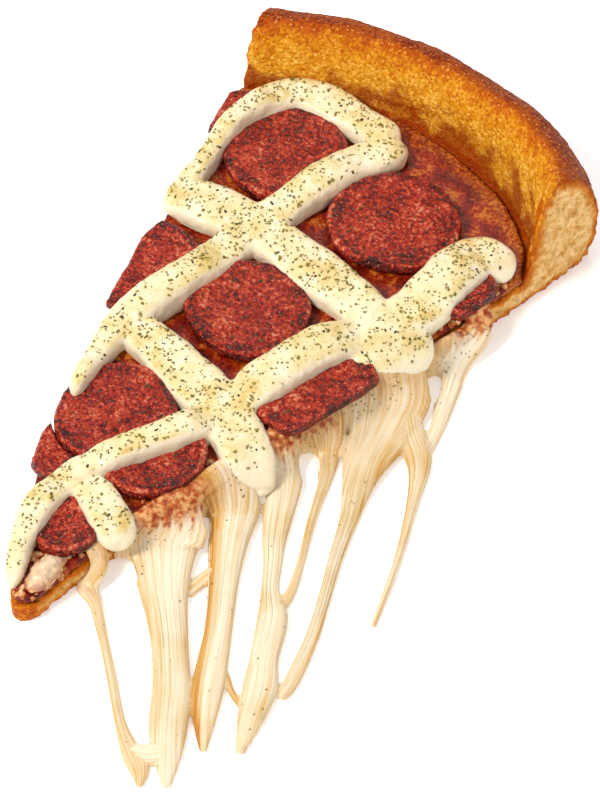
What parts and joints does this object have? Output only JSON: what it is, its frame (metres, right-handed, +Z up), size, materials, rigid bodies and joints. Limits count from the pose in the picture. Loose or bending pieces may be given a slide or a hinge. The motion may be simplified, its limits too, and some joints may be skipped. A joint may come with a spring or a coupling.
{
  "type": "sausage pizza slice",
  "caption": "Cut slice of pizza with a puffy baked rim, tomato sauce, sausage slices, a herbed cream cheese lattice and pulled mozzarella strands, lying flat.",
  "frame": {"origin": "on the flat underside of the crust, below the middle of the slice, 95 mm from its tip", "axes": "+Z up, square to the underside; +Y from the tip towards the rim; +X towards the cut side that the cheese hangs over"},
  "size_m": [0.1227, 0.219, 0.0358],
  "materials": {
    "crust": "baked dough, golden on the inside of the rim and brown on its crest, pale crumb at the cuts",
    "sauce": "moist oily tomato sauce",
    "sausage": "coarse cured sausage, moist, with fat specks and a darker edge",
    "cream_cheese": "soft melted cream cheese with dried herb flakes",
    "mozzarella": "melted mozzarella, pulled into fibres"
  },
  "bodies": {
    "root": {"crust": "crust", "sauce": "sauce", "sausage_1": "sausage", "sausage_2": "sausage", "sausage_3": "sausage", "sausage_4": "sausage", "sausage_5": "sausage", "sausage_6": "sausage", "sausage_7": "sausage", "sausage_8": "sausage", "sausage_9": "sausage", "sausage_10": "sausage", "sausage_11": "sausage", "lattice": "cream_cheese", "cheese_pull": "mozzarella", "tip_cheese": "mozzarella"}
  },
  "joints": []
}
